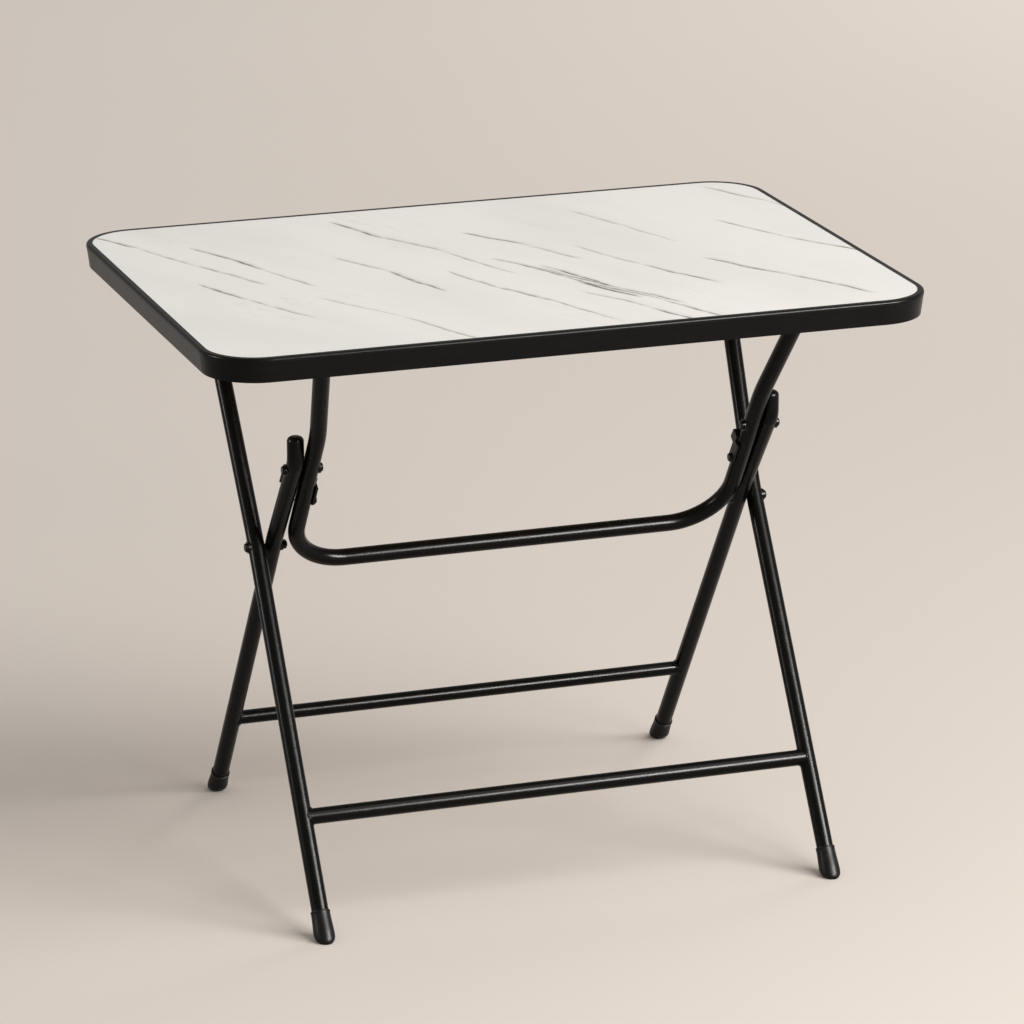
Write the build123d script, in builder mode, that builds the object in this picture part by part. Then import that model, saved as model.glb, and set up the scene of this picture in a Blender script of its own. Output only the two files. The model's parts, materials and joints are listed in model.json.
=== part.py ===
from build123d import *
import math
import os

# Folding table with a laminated top in a black edge rim, on crossed tubular legs.
# Millimetres. +X runs along the long side, +Y to the rear, +Z up.
# The origin is on the floor, under the middle of the top.
# Seen from the side, the top, the front legs, the rear legs and the brace form a four-bar
# linkage. Side-view points are written (y, z).

# ---- overall ---------------------------------------------------------------------------------
top_length = 914
top_width = 660
table_height = 740
corner_radius = 70

# ---- edge rim and board ----------------------------------------------------------------------
rim_height = 30
rim_lip = 8
rim_bead = 6.4
rim_bead_round = 3
rim_crease_round = 0.8
rim_crease = 0.5
rim_taper = 3.5
rim_skirt = 6
rim_ledge = 14
rim_ledge_thickness = 2
laminate_sink = 0.5
laminate_thickness = 0.8
board_thickness = 18
fit_gap = 0.05

# ---- tubes -----------------------------------------------------------------------------------
tube_r = 10.5
tube_wall = 1.2
front_bar_r = 10
rear_bar_r = 9
front_bar_z = 130
rear_bar_z = 126
weld_gap = 0.02

# The three pairs of tubes lie in three planes side by side, so they pass each other when folded.
plane_gap = 0.5
rear_leg_x = 308
front_leg_x = rear_leg_x + 2 * tube_r + plane_gap
brace_x = rear_leg_x - 2 * tube_r - plane_gap
front_leg_flare = 13
brace_flare = 16

# ---- linkage points --------------------------------------------------------------------------
front_foot = (-316, 0)
rear_foot = (244, 0)
leg_cross = (-42, 419)
leg_hinge = (122, 704)
brace_hinge = (-246, 704)
knee = (-137, 543)
bend_past_cross = 15
leg_bend_r = 250
brace_past_knee = 183
brace_corner_r = 72
brace_flare_above_knee = 60
brace_flare_r = 250
knob_bend_r = 24
knob_bend_past_knee = 16
knob_top_z = 588
tube_past_hinge = 7.5

# ---- feet and end caps -----------------------------------------------------------------------
foot_r = 13
foot_neck_r = 12.2
foot_length = 38
foot_band = 14
foot_shoulder = 4
foot_lip = 1
foot_lip_inset = 0.8
foot_floor = 10
plug_thickness = 1.5
plug_depth = 2.8
plug_chamfer = plug_thickness / 2
knob_depth = 12
knob_round = 7
knob_crown = 6.8

# ---- fasteners -------------------------------------------------------------------------------
pin_r = 3
running_gap = 0.06
head_r = 5.6
head_thickness = 3.4
head_crown = 0.6
washer_r = 7.5
washer_proud = 1.2
nut_r = 6
nut_thickness = 4.5
nut_chamfer = 0.6
nut_gap = 0.3
bolt_past_nut = 1
rivet_head_r = 5
rivet_head_thickness = 2

# ---- stop on each brace arm ------------------------------------------------------------------
stop_below_knee = 33
stop_length = 16
stop_gap = 0.3
stop_plate = 2.8
stop_corner = 1
stop_plate_r = 7
stop_screw_below_knee = 62
stop_reach = rear_leg_x + 8

# ---- hinge brackets --------------------------------------------------------------------------
bracket_thickness = 2
bracket_ear_gap = 1.4
bracket_ear_r = 9
bracket_ear_width = 24
bracket_plate_length = 50
bracket_plate_corner = 3
screw_spacing = 34
screw_r = 1.8
screw_length = 12
screw_head_r = 3.8
screw_head_thickness = 2.2
screw_head_round = 1.1

# ---- levels worked out from the above --------------------------------------------------------
rim_bottom = table_height - rim_height
laminate_top = table_height - laminate_sink
board_top = laminate_top - laminate_thickness
board_bottom = board_top - board_thickness
bracket_plate_bottom = board_bottom - bracket_thickness
brace_hinge_x = brace_x + brace_flare
sides = {"left": -1, "right": 1}


def along(start, end, distance):
    """The point at a distance from start towards end, in the side view."""
    length = math.dist(start, end)
    step = distance / length
    return (start[0] + (end[0] - start[0]) * step, start[1] + (end[1] - start[1]) * step)


def level(start, end, z):
    """The point at height z on the line through start and end, in the side view."""
    step = (z - start[1]) / (end[1] - start[1])
    return (start[0] + (end[0] - start[0]) * step, z)


def slab(length, width, radius, bottom, top):
    """A flat plate with rounded corners."""
    with BuildPart() as plate:
        with BuildSketch(Plane.XY.offset(bottom)):
            RectangleRounded(length, width, radius)
        extrude(amount=top - bottom)
    return plate.part


def tube(points, bends, radius):
    """A round hollow tube along straight runs joined by bends."""
    with BuildPart() as pipe:
        with BuildLine() as route:
            FilletPolyline(*points, radius=bends)
        with BuildSketch(Plane(origin=route.line @ 0, z_dir=route.line % 0)):
            Circle(radius)
            Circle(radius - tube_wall, mode=Mode.SUBTRACT)
        sweep()
    return pipe.part


def cross_drill(part, point, x, radius):
    """Cuts a hole along X through the tube whose centre line passes through the point at x."""
    with BuildPart() as drilled:
        add(part)
        with BuildSketch(Plane.YZ.offset(x - 2 * tube_r)):
            with Locations(point):
                Circle(radius)
        extrude(amount=4 * tube_r, mode=Mode.SUBTRACT)
    return drilled.part


def turned(origin, direction, profile):
    """A solid of revolution about the direction. The profile lists (radius, height) corners."""
    across = Vector(0, -direction.Z, direction.Y).normalized()
    with BuildPart() as solid:
        with BuildSketch(Plane(origin=origin, x_dir=across, z_dir=across.cross(direction))):
            with BuildLine():
                Polyline(*profile, close=True)
            make_face()
        revolve(axis=Axis(origin, direction))
    return solid.part


def saddle_washer(point, x, outward, leg_start, leg_end):
    """A washer with a flat outer face whose inner face is hollowed to sit on a tube."""
    face = tube_r + washer_proud
    with BuildPart() as washer:
        with BuildSketch(Plane.YZ.offset(x)):
            with Locations(point):
                Circle(washer_r)
                Circle(pin_r + running_gap, mode=Mode.SUBTRACT)
        extrude(amount=outward * face)
        axis_dir = Vector(0, leg_end[0] - leg_start[0], leg_end[1] - leg_start[1]).normalized()
        start = Vector(x, *point) - axis_dir * 2 * washer_r
        with BuildSketch(Plane(origin=start, z_dir=axis_dir)):
            Circle(tube_r + fit_gap)
        extrude(amount=4 * washer_r, mode=Mode.SUBTRACT)
    return washer.part


def headed_pin(point, x_head, outward, shank, radius, head, thickness):
    """A round-headed pin: the head starts at x_head and the shank runs the other way."""
    with BuildPart() as pin:
        with BuildSketch(Plane.YZ.offset(x_head)):
            with Locations(point):
                Circle(head)
        extrude(amount=outward * thickness)
        crown = pin.faces().sort_by(Axis.X)[-1 if outward > 0 else 0]
        fillet(crown.edges(), thickness * head_crown)
        with BuildSketch(Plane.YZ.offset(x_head)):
            with Locations(point):
                Circle(radius)
        extrude(amount=-outward * shank)
    return pin.part


def nut(point, x, outward):
    """A hexagon nut on the pin, with its flat face at x."""
    with BuildPart() as hexagon:
        with BuildSketch(Plane.YZ.offset(x)):
            with Locations(point):
                RegularPolygon(nut_r, 6)
                Circle(pin_r, mode=Mode.SUBTRACT)
        extrude(amount=outward * nut_thickness)
        outer = hexagon.faces().filter_by(Axis.X).sort_by(Axis.X)[-1 if outward > 0 else 0]
        chamfer(outer.edges(), nut_chamfer)
    return hexagon.part


def write(part, name):
    """Labels a piece and writes it under its own name."""
    part.label = name
    export_step(part, f"parts/{name}.step")


os.makedirs("parts", exist_ok=True)

# ---- top: rim, board and laminate ------------------------------------------------------------
inner_length = top_length - 2 * rim_lip
inner_width = top_width - 2 * rim_lip
inner_corner = corner_radius - rim_lip

# The rim is a rounded bead over a face that leans in towards its lower edge.
bead_bottom = table_height - rim_bead
face_lean = math.degrees(math.atan2(rim_taper - rim_crease, bead_bottom - rim_bottom))

with BuildPart() as edge_rim:
    with BuildSketch(Plane.XY.offset(bead_bottom)):
        RectangleRounded(top_length, top_width, corner_radius)
    extrude(amount=rim_bead)
    fillet(edge_rim.faces().sort_by(Axis.Z)[-1].edges(), rim_bead_round)
    fillet(edge_rim.faces().sort_by(Axis.Z)[0].edges(), rim_crease_round)
    with BuildSketch(Plane.XY.offset(rim_bottom)):
        RectangleRounded(
            top_length - 2 * rim_taper, top_width - 2 * rim_taper, corner_radius - rim_taper
        )
    extrude(amount=bead_bottom - rim_bottom, taper=-face_lean)
    with BuildSketch(Plane.XY.offset(board_bottom)):
        RectangleRounded(inner_length, inner_width, inner_corner)
    extrude(amount=rim_height, mode=Mode.SUBTRACT)
    with BuildSketch(Plane.XY.offset(rim_bottom)):
        RectangleRounded(
            top_length - 2 * rim_skirt, top_width - 2 * rim_skirt, corner_radius - rim_skirt
        )
    extrude(amount=board_bottom - rim_ledge_thickness - rim_bottom, mode=Mode.SUBTRACT)
    with BuildSketch(Plane.XY.offset(rim_bottom)):
        RectangleRounded(
            top_length - 2 * rim_ledge, top_width - 2 * rim_ledge, corner_radius - rim_ledge
        )
    extrude(amount=rim_height, mode=Mode.SUBTRACT)
write(edge_rim.part, "edge_rim")

bracket_spots = [(sign * x, y) for sign in (-1, 1) for x, y in (
    (front_leg_x + front_leg_flare, leg_hinge[0]),
    (brace_hinge_x, brace_hinge[0]),
)]

with BuildPart() as tabletop_board:
    add(slab(inner_length - 2 * fit_gap, inner_width - 2 * fit_gap, inner_corner,
             board_bottom, board_top))
    with BuildSketch(Plane.XY.offset(board_bottom)):
        with Locations(*bracket_spots):
            with GridLocations(0, screw_spacing, 1, 2):
                Circle(screw_r + fit_gap)
    extrude(amount=screw_length + fit_gap, mode=Mode.SUBTRACT)
write(tabletop_board.part, "tabletop_board")

marble_laminate = slab(inner_length - 2 * fit_gap, inner_width - 2 * fit_gap, inner_corner,
                       board_top, laminate_top)
write(marble_laminate, "marble_laminate")


# ---- hinge brackets, screws and pins under the board -----------------------------------------
def hinge_bracket(x, hinge):
    """A folded-up channel: a screwed plate with two ears that hold the hinge pin."""
    half_gap = tube_r + bracket_ear_gap
    half_width = half_gap + bracket_thickness
    with BuildPart() as bracket:
        with BuildSketch(Plane.XY.offset(bracket_plate_bottom)):
            with Locations((x, hinge[0])):
                RectangleRounded(2 * half_width, bracket_plate_length, bracket_plate_corner)
        extrude(amount=bracket_thickness)
        for ear_x in (x - half_width, x + half_gap):
            with BuildSketch(Plane.YZ.offset(ear_x)):
                with Locations(hinge):
                    Circle(bracket_ear_r)
                with BuildLine():
                    Polyline(
                        (hinge[0] - bracket_ear_r, hinge[1]),
                        (hinge[0] + bracket_ear_r, hinge[1]),
                        (hinge[0] + bracket_ear_width / 2, bracket_plate_bottom),
                        (hinge[0] - bracket_ear_width / 2, bracket_plate_bottom),
                        close=True,
                    )
                make_face()
            extrude(amount=bracket_thickness)
        with BuildSketch(Plane.YZ.offset(x - half_width)):
            with Locations(hinge):
                Circle(pin_r + weld_gap)
        extrude(amount=2 * half_width, mode=Mode.SUBTRACT)
        with BuildSketch(Plane.XY.offset(bracket_plate_bottom)):
            with Locations((x, hinge[0])):
                with GridLocations(0, screw_spacing, 1, 2):
                    Circle(screw_r + fit_gap)
        extrude(amount=bracket_thickness, mode=Mode.SUBTRACT)
    return bracket.part


def bracket_screws(x, y):
    """The two wood screws of a bracket, with pan heads under its plate."""
    with BuildPart() as screws:
        with BuildSketch(Plane.XY.offset(bracket_plate_bottom - screw_head_thickness)):
            with Locations((x, y)):
                with GridLocations(0, screw_spacing, 1, 2):
                    Circle(screw_head_r)
        extrude(amount=screw_head_thickness)
        fillet(screws.faces().group_by(Axis.Z)[0].edges(), screw_head_round)
        with BuildSketch(Plane.XY.offset(bracket_plate_bottom)):
            with Locations((x, y)):
                with GridLocations(0, screw_spacing, 1, 2):
                    Circle(screw_r)
        extrude(amount=bracket_thickness + screw_length)
    return screws.part


def hinge_pin(x, hinge):
    """A rivet through both ears of a bracket, headed at both ends."""
    half_width = tube_r + bracket_ear_gap + bracket_thickness
    with BuildPart() as pin:
        add(headed_pin(hinge, x + half_width, 1, 2 * half_width, pin_r, rivet_head_r,
                       rivet_head_thickness))
        add(headed_pin(hinge, x - half_width, -1, pin_r, pin_r, rivet_head_r,
                       rivet_head_thickness))
    return pin.part


for side, sign in sides.items():
    leg_top_x = sign * (front_leg_x + front_leg_flare)
    arm_x = sign * brace_hinge_x
    write(hinge_bracket(leg_top_x, leg_hinge), f"leg_bracket_{side}")
    write(hinge_bracket(arm_x, brace_hinge), f"brace_bracket_{side}")
    write(bracket_screws(leg_top_x, leg_hinge[0]), f"leg_bracket_screws_{side}")
    write(bracket_screws(arm_x, brace_hinge[0]), f"brace_bracket_screws_{side}")
    write(hinge_pin(leg_top_x, leg_hinge), f"leg_hinge_pin_{side}")
    write(hinge_pin(arm_x, brace_hinge), f"brace_hinge_pin_{side}")

# ---- front legs ------------------------------------------------------------------------------
front_start = along(front_foot, leg_cross, foot_floor)
front_bend = along(leg_cross, front_foot, -bend_past_cross)
front_end = along(leg_hinge, front_bend, -tube_past_hinge)
flare_end = front_leg_x + front_leg_flare * (1 + tube_past_hinge / math.dist(leg_hinge, front_bend))


def foot_cap(x, foot, cross):
    """A rubber cap over the end of a leg, cut level with the floor."""
    origin = Vector(x, *foot)
    direction = Vector(0, cross[0] - foot[0], cross[1] - foot[1]).normalized()
    bore = tube_r + weld_gap
    profile = [
        (0, -foot_r),
        (foot_r, -foot_r),
        (foot_r, foot_band),
        (foot_neck_r, foot_band + foot_shoulder),
        (foot_neck_r, foot_length - foot_lip),
        (foot_neck_r - foot_lip_inset, foot_length),
        (bore, foot_length),
        (bore, foot_floor),
        (0, foot_floor),
    ]
    with BuildPart() as cap:
        add(turned(origin, direction, profile))
        split(bisect_by=Plane.XY, keep=Keep.TOP)
    return cap.part


def crossbar(x_end, start, end, radius, height):
    """A round tube between a pair of legs, with its ends hollowed to meet them."""
    centre = level(start, end, height)
    with BuildPart() as bar:
        with BuildSketch(Plane.YZ.offset(-x_end)):
            with Locations(centre):
                Circle(radius)
                Circle(radius - tube_wall, mode=Mode.SUBTRACT)
        extrude(amount=2 * x_end)
        direction = Vector(0, end[0] - start[0], end[1] - start[1]).normalized()
        for leg_x in (-x_end, x_end):
            with BuildSketch(Plane(origin=Vector(leg_x, *start), z_dir=direction)):
                Circle(tube_r + weld_gap)
            extrude(amount=2 * height, mode=Mode.SUBTRACT)
    return bar.part


def end_plug(x, end, inside, tilt):
    """A thin plug that closes the open end of a tube at a hinge."""
    direction = Vector(tilt, end[0] - inside[0], end[1] - inside[1]).normalized()
    bore = tube_r - tube_wall - fit_gap
    profile = [
        (0, -plug_depth),
        (bore, -plug_depth),
        (bore, weld_gap),
        (tube_r, weld_gap),
        (tube_r, plug_thickness - plug_chamfer),
        (tube_r - plug_chamfer, plug_thickness),
        (0, plug_thickness),
    ]
    return turned(Vector(x, *end), direction, profile)


for side, sign in sides.items():
    leg_x = sign * front_leg_x
    leg_points = [
        (leg_x, *front_start),
        (leg_x, *front_bend),
        (sign * flare_end, *front_end),
    ]
    front_leg = tube(leg_points, leg_bend_r, tube_r)
    front_leg = cross_drill(front_leg, leg_cross, leg_x, pin_r + weld_gap)
    front_leg = cross_drill(front_leg, leg_hinge, sign * (front_leg_x + front_leg_flare),
                            pin_r + running_gap)
    write(front_leg, f"front_leg_{side}")
    write(foot_cap(leg_x, front_foot, leg_cross), f"front_foot_{side}")
    write(end_plug(sign * flare_end, front_end, front_bend, sign * front_leg_flare),
          f"front_leg_plug_{side}")

    outer_face = sign * (front_leg_x + tube_r + washer_proud)
    inner_face = sign * (rear_leg_x - tube_r - washer_proud - nut_gap)
    shank = abs(outer_face - inner_face) + nut_thickness + bolt_past_nut
    write(saddle_washer(leg_cross, leg_x, sign, front_foot, leg_cross), f"cross_washer_outer_{side}")
    write(headed_pin(leg_cross, outer_face, sign, shank, pin_r, head_r, head_thickness),
          f"cross_bolt_{side}")
    write(nut(leg_cross, inner_face, -sign), f"cross_nut_{side}")

write(crossbar(front_leg_x, front_foot, leg_cross, front_bar_r, front_bar_z), "front_crossbar")

# ---- rear legs -------------------------------------------------------------------------------
rear_start = along(rear_foot, leg_cross, foot_floor)
rear_bend = along(leg_cross, rear_foot, -bend_past_cross)
knob_corner = along(knee, rear_bend, -knob_bend_past_knee)
knob_end = (knob_corner[0], knob_top_z - knob_round)


def leg_knob(x):
    """The rounded cap on the free upper end of a rear leg."""
    bore = tube_r - tube_wall - fit_gap
    with BuildPart() as knob:
        with BuildSketch(Plane.XY.offset(knob_end[1])):
            with Locations((x, knob_end[0])):
                Circle(tube_r)
        extrude(amount=knob_round)
        fillet(knob.faces().sort_by(Axis.Z)[-1].edges(), knob_crown)
        with BuildSketch(Plane.XY.offset(knob_end[1])):
            with Locations((x, knob_end[0])):
                Circle(bore)
        extrude(amount=-knob_depth)
    return knob.part


for side, sign in sides.items():
    leg_x = sign * rear_leg_x
    leg_points = [
        (leg_x, *rear_start),
        (leg_x, *rear_bend),
        (leg_x, *knob_corner),
        (leg_x, *knob_end),
    ]
    rear_leg = tube(leg_points, (leg_bend_r, knob_bend_r), tube_r)
    rear_leg = cross_drill(rear_leg, leg_cross, leg_x, pin_r + running_gap)
    rear_leg = cross_drill(rear_leg, knee, leg_x, pin_r + weld_gap)
    write(rear_leg, f"rear_leg_{side}")
    write(foot_cap(leg_x, rear_foot, leg_cross), f"rear_foot_{side}")
    write(leg_knob(leg_x), f"rear_leg_knob_{side}")
    write(saddle_washer(leg_cross, leg_x, -sign, rear_foot, leg_cross), f"cross_washer_inner_{side}")
    write(saddle_washer(knee, leg_x, sign, rear_bend, knee), f"knee_washer_outer_{side}")
    # The knee bolt stops just short of the brace, so the linkage can be opened at this pivot.
    knee_face = sign * (rear_leg_x + tube_r + washer_proud)
    knee_shank = washer_proud + 2 * tube_r
    write(headed_pin(knee, knee_face, sign, knee_shank, pin_r, head_r, head_thickness),
          f"knee_bolt_{side}")

write(crossbar(rear_leg_x, rear_foot, leg_cross, rear_bar_r, rear_bar_z), "rear_crossbar")

# ---- brace -----------------------------------------------------------------------------------
brace_top = along(brace_hinge, knee, -tube_past_hinge)
brace_bar = along(knee, brace_hinge, -brace_past_knee)
flare_start = along(knee, brace_hinge, brace_flare_above_knee)
brace_top_x = brace_x + brace_flare * math.dist(flare_start, brace_top) / math.dist(flare_start, brace_hinge)
brace_points = [
    (-brace_top_x, *brace_top),
    (-brace_x, *flare_start),
    (-brace_x, *brace_bar),
    (brace_x, *brace_bar),
    (brace_x, *flare_start),
    (brace_top_x, *brace_top),
]
brace_bends = (brace_flare_r, brace_corner_r, brace_corner_r, brace_flare_r)
stop_screw = along(knee, brace_bar, stop_screw_below_knee)

brace_tube = tube(brace_points, brace_bends, tube_r)
for sign in sides.values():
    brace_tube = cross_drill(brace_tube, brace_hinge, sign * brace_hinge_x, pin_r + running_gap)
    brace_tube = cross_drill(brace_tube, knee, sign * brace_x, pin_r + weld_gap)
    brace_tube = cross_drill(brace_tube, stop_screw, sign * brace_x, pin_r + weld_gap)
write(brace_tube, "brace_tube")

# Each stop lies against the rear side of a rear leg and keeps the knee from opening further.
beside_leg = along(knee, rear_bend, stop_below_knee)
leg_run = Vector(0, rear_bend[0] - knee[0], rear_bend[1] - knee[1]).normalized()


def stop_arm(sign):
    """A plate on the inner side of a brace arm, with a flange that reaches behind the rear leg."""
    inner = sign * (brace_x - tube_r - fit_gap)
    flange_middle = tube_r + stop_gap + stop_plate / 2
    with BuildPart() as arm:
        with BuildSketch(Plane.YZ.offset(inner)):
            with BuildLine():
                Line(stop_screw, along(stop_screw, knee, stop_screw_below_knee - stop_below_knee))
            trace(line_width=2 * stop_plate_r)
            with Locations(stop_screw):
                Circle(stop_plate_r)
        extrude(amount=-sign * stop_plate)
        flange_plane = Plane(origin=Vector(inner, *beside_leg), x_dir=leg_run, z_dir=(1, 0, 0))
        with BuildSketch(flange_plane):
            with Locations((0, flange_middle)):
                RectangleRounded(stop_length, stop_plate, stop_corner)
        extrude(amount=sign * (stop_reach - abs(inner)))
        with BuildSketch(flange_plane):
            with Locations((0, flange_middle / 2)):
                Rectangle(stop_length, flange_middle)
            with Locations((0, flange_middle)):
                RectangleRounded(stop_length, stop_plate, stop_corner)
        extrude(amount=-sign * stop_plate)
        with BuildSketch(Plane.YZ.offset(inner)):
            with Locations(stop_screw):
                Circle(pin_r + weld_gap)
        extrude(amount=-sign * stop_plate, mode=Mode.SUBTRACT)
    return arm.part


for side, sign in sides.items():
    arm_x = sign * brace_x
    write(end_plug(sign * brace_top_x, brace_top, flare_start, sign * (brace_top_x - brace_x)),
          f"brace_plug_{side}")
    nut_face = sign * (brace_x - tube_r - washer_proud)
    write(saddle_washer(knee, arm_x, -sign, brace_hinge, knee), f"knee_washer_inner_{side}")
    write(headed_pin(knee, nut_face, -sign, washer_proud + 2 * tube_r - fit_gap, pin_r, head_r,
                     head_thickness), f"knee_nut_{side}")
    write(stop_arm(sign), f"stop_arm_{side}")
    screw_face = sign * (brace_x - tube_r - fit_gap - stop_plate)
    write(headed_pin(stop_screw, screw_face, -sign, stop_plate + 2 * tube_r - fit_gap, pin_r,
                     head_r, head_thickness), f"stop_screw_{side}")
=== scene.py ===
import json
import math
import random

import bpy
from mathutils import Euler, Matrix, Vector

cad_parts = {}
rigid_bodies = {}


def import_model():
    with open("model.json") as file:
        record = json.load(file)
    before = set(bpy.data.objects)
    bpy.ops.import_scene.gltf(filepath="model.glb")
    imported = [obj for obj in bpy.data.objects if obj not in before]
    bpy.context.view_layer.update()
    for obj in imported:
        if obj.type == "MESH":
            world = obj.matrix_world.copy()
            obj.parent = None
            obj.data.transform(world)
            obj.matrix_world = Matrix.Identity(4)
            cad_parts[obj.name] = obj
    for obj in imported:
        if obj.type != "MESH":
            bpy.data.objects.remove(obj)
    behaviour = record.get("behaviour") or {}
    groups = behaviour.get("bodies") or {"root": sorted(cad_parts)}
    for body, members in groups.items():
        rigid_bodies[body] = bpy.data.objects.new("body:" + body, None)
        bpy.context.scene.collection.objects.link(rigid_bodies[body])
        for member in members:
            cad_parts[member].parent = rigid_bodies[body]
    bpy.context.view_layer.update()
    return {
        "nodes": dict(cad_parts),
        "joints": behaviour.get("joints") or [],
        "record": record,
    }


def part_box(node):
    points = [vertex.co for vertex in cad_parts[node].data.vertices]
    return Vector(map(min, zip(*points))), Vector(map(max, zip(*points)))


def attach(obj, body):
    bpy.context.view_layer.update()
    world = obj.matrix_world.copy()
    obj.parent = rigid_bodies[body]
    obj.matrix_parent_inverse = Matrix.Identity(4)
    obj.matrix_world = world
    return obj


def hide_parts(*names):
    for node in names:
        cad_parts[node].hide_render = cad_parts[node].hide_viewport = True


# Looks of the folding table. Metres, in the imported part's own frame: +X along the long side,
# +Y to the rear, +Z up, the floor at z = 0.

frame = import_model()
nodes = frame["nodes"]
record = frame["record"]
sides = ("left", "right")

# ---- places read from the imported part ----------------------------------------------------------
joints = {joint["name"]: Vector(joint["pos_m"]) for joint in frame["joints"]}
soles = {mount["name"]: Vector(mount["pos_m"]) for mount in record["mounts"]}
leg_cross = joints["rear_legs_fold"]
tube_radius = (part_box("rear_leg_knob_left")[1].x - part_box("rear_leg_knob_left")[0].x) / 2


def middle(node):
    """The middle of a CAD node's box."""
    low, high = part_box(node)
    return (low + high) / 2


# ---- materials ---------------------------------------------------------------------------------
class Material:
    """A node-based material whose patterns sit in the object's own coordinates."""

    def __init__(self, name):
        self.made = bpy.data.materials.new(name)
        self.made.use_nodes = True
        self.tree = self.made.node_tree
        self.shader = self.tree.nodes["Principled BSDF"]
        self.place = self.add("ShaderNodeTexCoord").outputs["Object"]

    def add(self, kind, **settings):
        node = self.tree.nodes.new(kind)
        for key, value in settings.items():
            setattr(node, key, value)
        return node

    def link(self, output, socket):
        self.tree.links.new(output, socket)

    def math(self, operation, *values):
        """A math node; a value is a number or another node's output."""
        node = self.add("ShaderNodeMath", operation=operation)
        for socket, value in zip(node.inputs, values):
            if isinstance(value, (int, float)):
                socket.default_value = value
            else:
                self.link(value, socket)
        return node.outputs[0]

    def noise(self, scale, detail=3.0, roughness=0.5, place=None):
        node = self.add("ShaderNodeTexNoise")
        node.inputs["Scale"].default_value = scale
        node.inputs["Detail"].default_value = detail
        node.inputs["Roughness"].default_value = roughness
        self.link(place or self.place, node.inputs["Vector"])
        return node.outputs["Fac"]

    def stretched(self, factors, place=None):
        """The object's coordinates, scaled along each axis."""
        node = self.add("ShaderNodeMapping")
        node.inputs["Scale"].default_value = factors
        self.link(place or self.place, node.inputs["Vector"])
        return node.outputs[0]

    def spread(self, output, low, high, start=0.0, end=1.0, smooth=False):
        """Maps an output from start..end to low..high."""
        node = self.add("ShaderNodeMapRange")
        if smooth:
            node.interpolation_type = "SMOOTHSTEP"
        for name, value in (("From Min", start), ("From Max", end), ("To Min", low), ("To Max", high)):
            node.inputs[name].default_value = value
        self.link(output, node.inputs["Value"])
        return node.outputs[0]

    def blend(self, amount, first, second):
        """Mixes two colours; a colour is three numbers or another node's output."""
        node = self.add("ShaderNodeMix", data_type="RGBA")
        self.link(amount, node.inputs["Factor"])
        for name, colour in (("A", first), ("B", second)):
            socket = next(s for s in node.inputs if s.name == name and s.type == "RGBA")
            if isinstance(colour, tuple):
                socket.default_value = (*colour, 1.0)
            else:
                self.link(colour, socket)
        return next(s for s in node.outputs if s.type == "RGBA")

    def bump(self, *layers):
        """Bump from (height output, distance in metres, strength) layers."""
        normal = None
        for height, distance, strength in layers:
            node = self.add("ShaderNodeBump")
            node.inputs["Distance"].default_value = distance
            node.inputs["Strength"].default_value = strength
            self.link(height, node.inputs["Height"])
            if normal:
                self.link(normal, node.inputs["Normal"])
            normal = node.outputs["Normal"]
        self.link(normal, self.shader.inputs["Normal"])

    def finish(self, colour, roughness, **fixed):
        self.link(colour, self.shader.inputs["Base Color"])
        self.link(roughness, self.shader.inputs["Roughness"])
        for name, value in fixed.items():
            socket = name.replace("_", " ").title().replace("Ior", "IOR")
            self.shader.inputs[socket].default_value = value
        return self.made


def painted(name, dark, light, roughness, peel, specular):
    """Black paint or powder coat: fine orange peel, dust specks and uneven gloss."""
    m = Material(name)
    broad = m.noise(9.0, 4.0)
    fine = m.noise(1500.0, 2.0)
    specks = m.spread(m.noise(700.0, 1.0), 0.0, 1.0, 0.70, 0.78, smooth=True)
    rub = m.spread(m.noise(55.0, 5.0, 0.65), 0.0, 1.0, 0.45, 0.75, smooth=True)
    colour = m.blend(broad, dark, light)
    colour = m.blend(m.math("MULTIPLY", specks, 0.25), colour, tuple(3 * c for c in light))
    gloss = m.spread(rub, roughness - 0.02, roughness + 0.05)
    m.bump((fine, 0.00004, peel), (m.noise(160.0, 2.0), 0.00006, peel))
    return m.finish(colour, gloss, specular_ior_level=specular)


def moulded(name, dark, light, roughness, grain, specular):
    """Black moulded plastic with a fine satin grain and faint scuffs."""
    m = Material(name)
    scuffs = m.spread(m.noise(1.0, 6.0, 0.7, m.stretched((25.0, 90.0, 140.0))), 0.0, 1.0, 0.55, 0.8)
    colour = m.blend(m.noise(14.0, 4.0), dark, light)
    colour = m.blend(m.math("MULTIPLY", scuffs, 0.12), colour, tuple(4 * c for c in light))
    gloss = m.spread(scuffs, roughness, roughness + 0.12)
    m.bump((m.noise(2600.0, 2.0), 0.00005, grain), (m.noise(45.0, 2.0), 0.0002, 0.05))
    return m.finish(colour, gloss, specular_ior_level=specular)


def rubbery(name):
    """Matte black rubber, slightly dusty, with a pebbled skin."""
    m = Material(name)
    dust = m.spread(m.noise(120.0, 6.0, 0.7), 0.0, 1.0, 0.5, 0.85)
    colour = m.blend(m.math("MULTIPLY", dust, 0.3), (0.0045, 0.0045, 0.0045), (0.022, 0.021, 0.0195))
    gloss = m.spread(dust, 0.38, 0.58)
    m.bump((m.noise(1900.0, 3.0), 0.00006, 0.25), (m.noise(260.0, 3.0), 0.0001, 0.12))
    return m.finish(colour, gloss, specular_ior_level=0.13)


def plated(name):
    """Bright zinc plating with fine turning marks and a faint yellow passivation."""
    m = Material(name)
    turned = m.noise(1.0, 3.0, 0.6, m.stretched((3200.0, 260.0, 260.0)))
    cloud = m.noise(240.0, 3.0)
    colour = m.blend(cloud, (0.56, 0.56, 0.55), (0.66, 0.63, 0.55))
    gloss = m.spread(turned, 0.26, 0.42)
    m.bump((turned, 0.00005, 0.3))
    return m.finish(colour, gloss, metallic=1.0)


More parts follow.
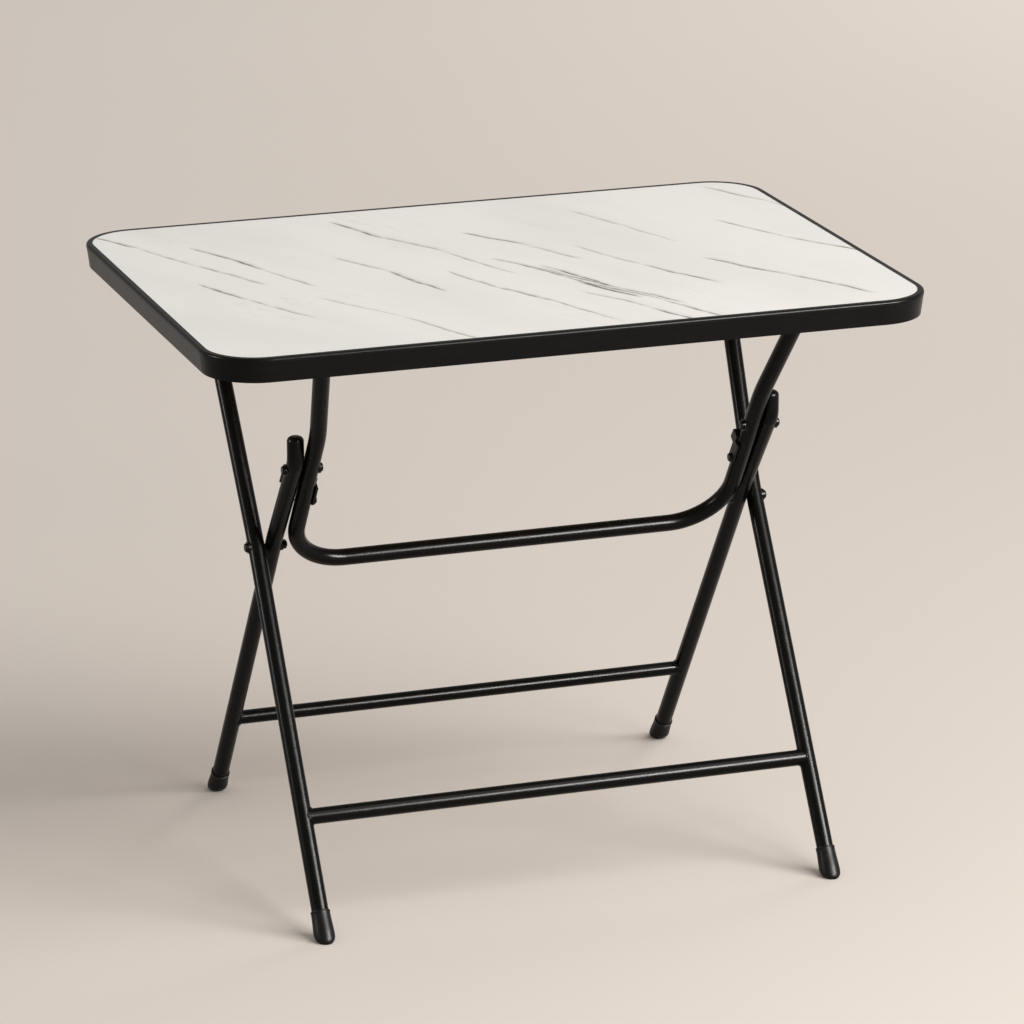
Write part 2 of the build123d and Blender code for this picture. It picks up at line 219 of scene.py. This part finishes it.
def chipboard(name):
    """Fine particle board: pressed flakes of several wood tones under a thin sealer."""
    m = Material(name)
    flakes = m.add("ShaderNodeTexVoronoi")
    flakes.inputs["Scale"].default_value = 420.0
    m.link(m.stretched((0.6, 1.0, 1.0)), flakes.inputs["Vector"])
    tone = m.add("ShaderNodeSeparateColor")
    m.link(flakes.outputs["Color"], tone.inputs[0])
    fibres = m.noise(900.0, 4.0, 0.6)
    colour = m.blend(tone.outputs[0], (0.42, 0.30, 0.19), (0.68, 0.54, 0.38))
    colour = m.blend(m.math("MULTIPLY", fibres, 0.5), colour, (0.52, 0.40, 0.27))
    gloss = m.spread(fibres, 0.5, 0.68)
    m.bump((flakes.outputs["Distance"], 0.0002, 0.3), (fibres, 0.0001, 0.3))
    return m.finish(colour, gloss)


# ---- marble laminate ---------------------------------------------------------------------------
# Long broken veins slant from the rear to the front, and a bundle lies right of the middle.
# With 50 vein runs Cycles still draws the laminate, and with 63 it comes out black.
VEIN_SEED = 11
VEIN_COUNT = 14
VEIN_SLANT = math.radians(-65)
VEIN_SWAY = 0.11
VEIN_STEP = (0.10, 0.16)
VEIN_WIDTH = (1.4, 2.2)
VEIN_STRENGTH = (0.38, 0.82)
VEIN_STEPS = (2, 3)
VEIN_OVERLAP = (0.85, 0.95)
VEIN_JITTER = 0.3
VEIN_DEPTH_SHARE = 0.72
BUNDLE_JITTER = (0.02, 0.03)
BUNDLE_BOLDNESS = 1.2
BUNDLE_COUNT = 6
BUNDLE_START = Vector((0.0, 0.02))
BUNDLE_SPACING = Vector((0.014, -0.030))
GOLDEN_SHARE = 0.618
VEIN_HALO = 3.2
VEIN_HALO_SIDE = 0.9
VEIN_HALO_SHARE = 0.28
VEIN_CORE_SHARE = 0.85
VEIN_TAPER = 0.75
VEIN_END_FADE = 6.0
VEIN_WIDENING = 1.4
WANDER = ((11.0, 0.016), (60.0, 0.0028), (260.0, 0.0009))


def vein_runs():
    """The veins as (start, end, width in mm, strength) runs in the plane of the top."""
    pick = random.Random(VEIN_SEED)
    low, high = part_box("marble_laminate")
    length, depth = high.x - low.x, high.y - low.y
    runs = []

    def chain(start, steps, boldness):
        slant = VEIN_SLANT + pick.uniform(-VEIN_SWAY, VEIN_SWAY) / 2
        for _ in range(steps):
            turn = slant + pick.uniform(-VEIN_SWAY, VEIN_SWAY)
            run = Vector((math.cos(turn), math.sin(turn))) * pick.uniform(*VEIN_STEP)
            strength = boldness * pick.uniform(*VEIN_STRENGTH)
            runs.append((start, start + run, pick.uniform(*VEIN_WIDTH), strength))
            start = start + run * pick.uniform(*VEIN_OVERLAP)

    for i in range(VEIN_COUNT):
        across = (i + pick.uniform(-VEIN_JITTER, VEIN_JITTER)) / VEIN_COUNT
        back = i * GOLDEN_SHARE % 1.0
        chain(Vector((low.x + length * across, high.y - depth * VEIN_DEPTH_SHARE * back)),
              pick.randint(*VEIN_STEPS), 1.0)
    for i in range(BUNDLE_COUNT):
        jitter = Vector([pick.uniform(-reach, reach) for reach in BUNDLE_JITTER])
        chain(BUNDLE_START + BUNDLE_SPACING * i + jitter, 1 + i % 2, BUNDLE_BOLDNESS)
    return runs


def vein_stroke():
    """A node group for one vein in its own coordinates: x runs 0..1 along it, y is in widths."""
    group = bpy.data.node_groups.new("vein_stroke", "ShaderNodeTree")
    group.interface.new_socket("Place", in_out="INPUT", socket_type="NodeSocketVector")
    group.interface.new_socket("Break", in_out="INPUT", socket_type="NodeSocketFloat")
    group.interface.new_socket("Strength", in_out="INPUT", socket_type="NodeSocketFloat")
    group.interface.new_socket("Vein", in_out="OUTPUT", socket_type="NodeSocketFloat")
    entry = group.nodes.new("NodeGroupInput")
    split = group.nodes.new("ShaderNodeSeparateXYZ")
    group.links.new(entry.outputs["Place"], split.inputs[0])

    def step(operation, *values, clamp=False):
        node = group.nodes.new("ShaderNodeMath")
        node.operation = operation
        node.use_clamp = clamp
        for socket, value in zip(node.inputs, values):
            if isinstance(value, (int, float)):
                socket.default_value = value
            else:
                group.links.new(value, socket)
        return node.outputs[0]

    run = split.outputs["X"]
    fade = step("MULTIPLY", step("MULTIPLY", run, step("SUBTRACT", 1.0, run)), VEIN_END_FADE,
                clamp=True)
    taper = step("ADD", step("MULTIPLY", fade, VEIN_TAPER), 1 - VEIN_TAPER)
    away = step("DIVIDE", step("ABSOLUTE", split.outputs["Y"]), taper)
    core = step("SUBTRACT", 1.0, away, clamp=True)
    # The halo hangs to one side of the core, as a printed vein's shadow does.
    shifted = step("ABSOLUTE", step("SUBTRACT", split.outputs["Y"], VEIN_HALO_SIDE))
    halo = step("SUBTRACT", 1.0, step("DIVIDE", shifted, VEIN_HALO), clamp=True)
    soft = step("MULTIPLY", step("MULTIPLY", halo, halo), VEIN_HALO_SHARE)
    mixed = step("ADD", step("MULTIPLY", core, VEIN_CORE_SHARE), soft)
    broken = step("MULTIPLY", mixed, entry.outputs["Break"])
    faded = step("MULTIPLY", broken, step("POWER", fade, 0.6))
    leave = group.nodes.new("NodeGroupOutput")
    group.links.new(step("MULTIPLY", faded, entry.outputs["Strength"]), leave.inputs["Vein"])
    return group


def marble(name):
    """Printed marble: warm white ground, soft clouds and thin grey-olive veins."""
    m = Material(name)
    stroke = vein_stroke()
    # Three sizes of wander bend every vein a little.
    wander = m.place
    for scale, amount in WANDER:
        shift = m.add("ShaderNodeTexNoise")
        shift.inputs["Scale"].default_value = scale
        shift.inputs["Detail"].default_value = 2.0
        m.link(m.place, shift.inputs["Vector"])
        centred = m.add("ShaderNodeVectorMath", operation="SUBTRACT")
        centred.inputs[1].default_value = (0.5, 0.5, 0.5)
        m.link(shift.outputs["Color"], centred.inputs[0])
        scaled = m.add("ShaderNodeVectorMath", operation="MULTIPLY")
        scaled.inputs[1].default_value = (amount, amount, 0.0)
        m.link(centred.outputs[0], scaled.inputs[0])
        moved = m.add("ShaderNodeVectorMath", operation="ADD")
        m.link(wander, moved.inputs[0])
        m.link(scaled.outputs[0], moved.inputs[1])
        wander = moved.outputs[0]
    breaks = m.spread(m.noise(38.0, 5.0, 0.65), 0.55, 1.7, 0.32, 0.62)
    total = None
    for start, end, width, strength in vein_runs():
        run = end - start
        own = m.add("ShaderNodeMapping", vector_type="TEXTURE")
        own.inputs["Location"].default_value = (*start, 0.0)
        own.inputs["Rotation"].default_value = (0.0, 0.0, math.atan2(run.y, run.x))
        own.inputs["Scale"].default_value = (run.length, VEIN_WIDENING * width / 1000, 1.0)
        m.link(wander, own.inputs["Vector"])
        drawn = m.add("ShaderNodeGroup", node_tree=stroke)
        m.link(own.outputs[0], drawn.inputs["Place"])
        m.link(breaks, drawn.inputs["Break"])
        drawn.inputs["Strength"].default_value = strength
        total = m.math("MAXIMUM", total, drawn.outputs[0]) if total else drawn.outputs[0]
    # Hair veins follow the same slant as the drawn ones.
    slant = m.add("ShaderNodeMapping")
    slant.inputs["Rotation"].default_value = (0.0, 0.0, math.radians(65))
    m.link(wander, slant.inputs["Vector"])
    hair = m.noise(1.0, 4.0, 0.6, m.stretched((3.2, 46.0, 1.0), slant.outputs[0]))
    ridge = m.math("ABSOLUTE", m.math("SUBTRACT", hair, 0.5))
    hairline = m.spread(ridge, 1.0, 0.0, 0.0, 0.012, smooth=True)
    patches = m.spread(m.noise(4.5, 2.0), 0.0, 1.0, 0.52, 0.72, smooth=True)
    hairs = m.math("MULTIPLY", m.math("MULTIPLY", hairline, patches), 0.16)
    clouds = m.spread(m.noise(1.0, 5.0, 0.55, m.stretched((2.4, 7.5, 1.0), slant.outputs[0])),
                      0.0, 1.0, 0.38, 0.72, smooth=True)
    ground = m.blend(clouds, (0.815, 0.80, 0.77), (0.76, 0.75, 0.72))
    veined = m.math("MINIMUM", m.math("ADD", total, hairs), 1.0)
    colour = m.blend(veined, ground, (0.165, 0.152, 0.116))
    gloss = m.spread(m.noise(30.0, 4.0), 0.33, 0.41)
    m.bump((m.noise(900.0, 3.0), 0.00003, 0.25), (m.noise(8.0, 2.0), 0.0004, 0.04))
    return m.finish(colour, gloss, specular_ior_level=0.2)


laminate_material = marble("marble_laminate")
rim_material = moulded("rim_plastic", (0.0035, 0.0035, 0.0034), (0.0055, 0.0052, 0.0050),
                       0.30, 0.07, 0.085)
tube_material = painted("black_powder_coat", (0.0016, 0.0016, 0.0016), (0.0030, 0.0028, 0.0026),
                        0.26, 0.04, 0.10)
bracket_material = painted("bracket_coat", (0.005, 0.005, 0.005), (0.009, 0.0085, 0.008),
                           0.36, 0.2, 0.11)
fastener_material = painted("fastener_coat", (0.004, 0.004, 0.004), (0.008, 0.0075, 0.007),
                            0.28, 0.15, 0.12)
rubber_material = rubbery("foot_rubber")
zinc_material = plated("zinc_plate")
plastic_material = moulded("cap_plastic", (0.003, 0.003, 0.003), (0.005, 0.0048, 0.0046),
                           0.26, 0.05, 0.10)
board_material = chipboard("particle_board")

LOOKS = (
    ("marble_laminate", laminate_material),
    ("tabletop_board", board_material),
    ("edge_rim", rim_material),
    ("leg_bracket_screws", zinc_material),
    ("brace_bracket_screws", zinc_material),
    ("leg_bracket", bracket_material),
    ("brace_bracket", bracket_material),
    ("leg_hinge_pin", zinc_material),
    ("brace_hinge_pin", zinc_material),
    ("front_leg_plug", plastic_material),
    ("brace_plug", plastic_material),
    ("rear_leg_knob", plastic_material),
    ("stop_arm", bracket_material),
    ("front_leg", tube_material),
    ("rear_leg", tube_material),
    ("front_crossbar", tube_material),
    ("rear_crossbar", tube_material),
    ("brace_tube", tube_material),
    ("front_foot", rubber_material),
    ("rear_foot", rubber_material),
)

for name, node in nodes.items():
    found = [look for start, look in LOOKS if name.startswith(start)]
    node.data.materials.clear()
    node.data.materials.append(found[0] if found else fastener_material)


# ---- pieces made here --------------------------------------------------------------------------
def mesh_piece(name, rings, material, body, loop_rings=False):
    """A smooth mesh through rings of points. The ends close with a fan, or the rings form a loop."""
    count = len(rings[0])
    points = [point for ring in rings for point in ring]
    faces = []
    pairs = len(rings) if loop_rings else len(rings) - 1
    for i in range(pairs):
        first, second = i * count, (i + 1) % len(rings) * count
        for j in range(count):
            k = (j + 1) % count
            faces.append((first + j, first + k, second + k, second + j))
    if not loop_rings:
        for first, order in ((0, -1), ((len(rings) - 1) * count, 1)):
            ring = points[first:first + count]
            points.append(sum(ring, Vector()) / count)
            for j in range(count):
                k = (j + 1) % count
                faces.append((first + j, first + k, len(points) - 1)[::order])
    mesh = bpy.data.meshes.new(name)
    mesh.from_pydata(points, [], faces)
    mesh.validate()
    mesh.shade_smooth()
    piece = bpy.data.objects.new(name, mesh)
    bpy.context.scene.collection.objects.link(piece)
    mesh.materials.append(material)
    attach(piece, body)
    return piece


# Rubber feet: a collar, a neck that swells downwards, and a rounded edge round a flat sole.
FOOT_SIDES = 72
FOOT_LENGTH = 0.038
FOOT_RADIUS = 0.0130
FOOT_COLLAR = 0.0118
FOOT_ROUND = 0.0085
FOOT_STEPS = 26
FOOT_SWELL = 0.85
FOOT_PULL = 0.30
FOOT_PULL_POWER = 2.6
SOLE_CLOSING = 0.02
COLLAR_HEIGHT = 0.0026
COLLAR_RINGS = 7
COLLAR_BULGE = 0.00035


def foot_radius(height):
    """The cap's radius at a height above the sole's middle, along the leg."""
    if height > FOOT_LENGTH - COLLAR_HEIGHT:
        edge = (height - (FOOT_LENGTH - COLLAR_HEIGHT)) / COLLAR_HEIGHT
        return FOOT_COLLAR + COLLAR_BULGE * math.sin(math.pi * edge)
    share = min(1.0, max(0.0, (height - FOOT_ROUND) / (FOOT_LENGTH - COLLAR_HEIGHT - FOOT_ROUND)))
    swell = 0.5 + 0.5 * math.cos(math.pi * share ** FOOT_SWELL)
    return FOOT_COLLAR + (FOOT_RADIUS - FOOT_COLLAR) * swell


def rubber_foot(side, end, body):
    """Replaces the plain cap of one leg."""
    sole = soles[f"{end}_foot_{side}_sole"]
    up = (Vector((sole.x, leg_cross.y, leg_cross.z)) - sole).normalized()
    across = Vector((1, 0, 0))
    other = up.cross(across)
    heights = [FOOT_LENGTH - COLLAR_HEIGHT * i / (COLLAR_RINGS - 1) for i in range(COLLAR_RINGS)]
    reach = FOOT_LENGTH - COLLAR_HEIGHT + FOOT_RADIUS
    heights += [FOOT_LENGTH - COLLAR_HEIGHT - reach * (i + 1) / FOOT_STEPS for i in range(FOOT_STEPS)]
    turns = [2 * math.pi * j / FOOT_SIDES for j in range(FOOT_SIDES)]
    spokes = [across * math.cos(turn) + other * math.sin(turn) for turn in turns]
    rings = [[sole + up * FOOT_LENGTH + spoke * tube_radius for spoke in spokes]]
    for height in heights:
        rings.append([sole + up * height + spoke * foot_radius(height) for spoke in spokes])
    rounded = [[round_off(point, sole, up) for point in ring] for ring in rings]
    piece = mesh_piece(f"rubber_foot_{end}_{side}", rounded, rubber_material, body)
    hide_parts(f"{end}_foot_{side}")


def round_off(point, sole, up):
    """Pulls the lower part of a foot in to a rounded edge and flattens it on the floor."""
    if point.z >= FOOT_ROUND:
        return point
    level = max(point.z, 0.0)
    depth = 1 - level / FOOT_ROUND
    level_axis = Vector((sole.x, sole.y + up.y / up.z * level, level))
    pull = 1 - FOOT_PULL * depth ** FOOT_PULL_POWER
    out = Vector((point.x - level_axis.x, point.y - level_axis.y, 0.0))
    shrink = 1.0 if point.z >= 0 else max(0.0, 1 + point.z / SOLE_CLOSING)
    return level_axis + out * pull * shrink


for side in sides:
    rubber_foot(side, "front", "front_legs")
    rubber_foot(side, "rear", "rear_legs")

# Weld beads where a crossbar meets its legs: small overlapping ripples round the joint.
BEAD_RADIUS = 0.0014
BEAD_STEPS = 144
BEAD_RIPPLES = 30
BEAD_SIDES = 10
BEAD_SWELL = 0.16
BEAD_LOOK_AHEAD = 0.01


def weld_bead(end, side, body):
    """A ring of weld along the line where the crossbar enters the leg."""
    bar = f"{end}_crossbar"
    centre = middle(bar)
    low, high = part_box(bar)
    bar_radius = (high.z - low.z) / 2
    leg_x = soles[f"{end}_foot_{side}_sole"].x
    inward = 1 if leg_x < 0 else -1
    sole = soles[f"{end}_foot_{side}_sole"]
    leg = (Vector((sole.x, leg_cross.y, leg_cross.z)) - sole).normalized()

    def place(turn):
        out = Vector((0, math.cos(turn), math.sin(turn))) * bar_radius
        beside = (out - leg * out.dot(leg)).length
        reach = math.sqrt(max(tube_radius ** 2 - beside ** 2, 0.0))
        return Vector((leg_x + inward * reach, centre.y, centre.z)) + out

    rings = []
    for i in range(BEAD_STEPS):
        turn = 2 * math.pi * i / BEAD_STEPS
        here, ahead = place(turn), place(turn + BEAD_LOOK_AHEAD)
        along = (ahead - here).normalized()
        out = Vector((0, math.cos(turn), math.sin(turn)))
        side_way = along.cross(out).normalized()
        out = side_way.cross(along)
        size = BEAD_RADIUS * (1 + BEAD_SWELL * abs(math.sin(BEAD_RIPPLES * turn / 2)))
        rings.append([here + (out * math.cos(t) + side_way * math.sin(t)) * size
                      for t in (2 * math.pi * j / BEAD_SIDES for j in range(BEAD_SIDES))])
    mesh_piece(f"weld_bead_{end}_{side}", rings, tube_material, body, loop_rings=True)


for side in sides:
    weld_bead("front", side, "front_legs")
    weld_bead("rear", side, "rear_legs")

# ---- floor and light ---------------------------------------------------------------------------
FLOOR_REACH = 30.0
FLOOR_CELLS = 12
LAMP_COLOUR = (1.0, 0.975, 0.945)


def floor():
    """A large plain floor."""
    m = Material("floor_paint")
    colour = m.blend(m.noise(0.9, 3.0), (0.650, 0.600, 0.554), (0.668, 0.617, 0.571))
    gloss = m.spread(m.noise(3.0, 2.0), 0.72, 0.8)
    m.bump((m.noise(60.0, 3.0), 0.0004, 0.1))
    paint = m.finish(colour, gloss, specular_ior_level=0.03)
    step = 2 * FLOOR_REACH / FLOOR_CELLS
    count = FLOOR_CELLS + 1
    points = [(-FLOOR_REACH + step * (i % count), -FLOOR_REACH + step * (i // count), 0.0)
              for i in range(count * count)]
    faces = [(i * count + j, i * count + j + 1, (i + 1) * count + j + 1, (i + 1) * count + j)
             for i in range(FLOOR_CELLS) for j in range(FLOOR_CELLS)]
    mesh = bpy.data.meshes.new("studio_floor")
    mesh.from_pydata(points, [], faces)
    mesh.materials.append(paint)
    ground = bpy.data.objects.new("studio_floor", mesh)
    bpy.context.scene.collection.objects.link(ground)


def softbox(name, place, aim, width, height, watts, shows_in):
    """A rectangular light that faces a point and adds only matte or only glossy light."""
    lamp = bpy.data.lights.new(name, "AREA")
    lamp.shape = "RECTANGLE"
    lamp.size = width
    lamp.size_y = height
    lamp.energy = watts
    lamp.color = LAMP_COLOUR
    holder = bpy.data.objects.new(name, lamp)
    holder.visible_camera = False
    holder.visible_diffuse = shows_in != "gloss"
    holder.visible_glossy = shows_in != "matte"
    holder.location = place
    holder.rotation_euler = (Vector(aim) - Vector(place)).to_track_quat("-Z", "Y").to_euler()
    bpy.context.scene.collection.objects.link(holder)
    if shows_in == "gloss":
        holder.light_linking.receiver_collection = dark_parts


def sky(strength, colour):
    """An even surround of warm light."""
    world = bpy.data.worlds.new("studio_surround")
    world.use_nodes = True
    background = world.node_tree.nodes["Background"]
    background.inputs["Color"].default_value = (*colour, 1.0)
    background.inputs["Strength"].default_value = strength
    bpy.context.scene.world = world


def sun(strength, angle, azimuth, height):
    """A very soft distant light from a compass azimuth and height in degrees."""
    lamp = bpy.data.lights.new("soft_sun", "SUN")
    lamp.energy = strength
    lamp.angle = math.radians(angle)
    lamp.color = LAMP_COLOUR
    holder = bpy.data.objects.new("soft_sun", lamp)
    turn, rise = math.radians(azimuth), math.radians(height)
    toward = Vector((math.sin(turn) * math.cos(rise), math.cos(turn) * math.cos(rise), math.sin(rise)))
    holder.rotation_euler = toward.to_track_quat("Z", "Y").to_euler()
    bpy.context.scene.collection.objects.link(holder)


floor()
# The glossy lights draw highlights on the dark parts only, so the top and floor never glare.
dark_parts = bpy.data.collections.new("dark_parts")
for thing in bpy.context.scene.objects:
    if thing.type == "MESH" and thing.name not in ("marble_laminate", "studio_floor"):
        dark_parts.objects.link(thing)
sky(0.437, (1.0, 0.98, 0.96))
sun(1.22, 40.0, 127.0, 52.0)
softbox("key_right", (2.8, -2.0, 2.4), (0.2, 0.0, 0.2), 1.6, 1.6, 58.0, "matte")
softbox("wall_right", (5.5, 4.5, 3.2), (2.2, 4.0, 0.0), 2.4, 2.4, 100.0, "matte")
softbox("near_front", (0.9, -2.6, 1.8), (0.5, -1.4, 0.0), 1.2, 1.2, 27.0, "matte")
softbox("window_front", (1.7, -2.7, 1.8), (0.0, -0.15, 0.3), 1.8, 0.9, 480.0, "gloss")
softbox("window_left", (-3.2, 0.5, 1.6), (-0.3, -0.1, 0.4), 0.6, 1.8, 75.0, "gloss")

# ---- camera ------------------------------------------------------------------------------------
AIM = Vector((0.016, -0.006, 0.418))
DISTANCE = 6.48
AZIMUTH = math.radians(18.85)
ELEVATION = math.radians(17.13)
ROLL = math.radians(-0.15)
LENS = 180.8

camera_data = bpy.data.cameras.new("camera")
camera_data.lens = LENS
camera_data.sensor_width = 36.0
camera_data.dof.use_dof = False
camera_data.clip_end = 200.0
camera = bpy.data.objects.new("camera", camera_data)
look = Vector((math.sin(AZIMUTH) * math.cos(ELEVATION), math.cos(AZIMUTH) * math.cos(ELEVATION),
               -math.sin(ELEVATION)))
turn = Euler((math.pi / 2 - ELEVATION, 0.0, -AZIMUTH)).to_matrix() @ Matrix.Rotation(ROLL, 3, "Z")
camera.matrix_world = Matrix.Translation(AIM - look * DISTANCE) @ turn.to_4x4()
bpy.context.scene.collection.objects.link(camera)
bpy.context.scene.camera = camera

bpy.context.scene.view_settings.view_transform = "Standard"
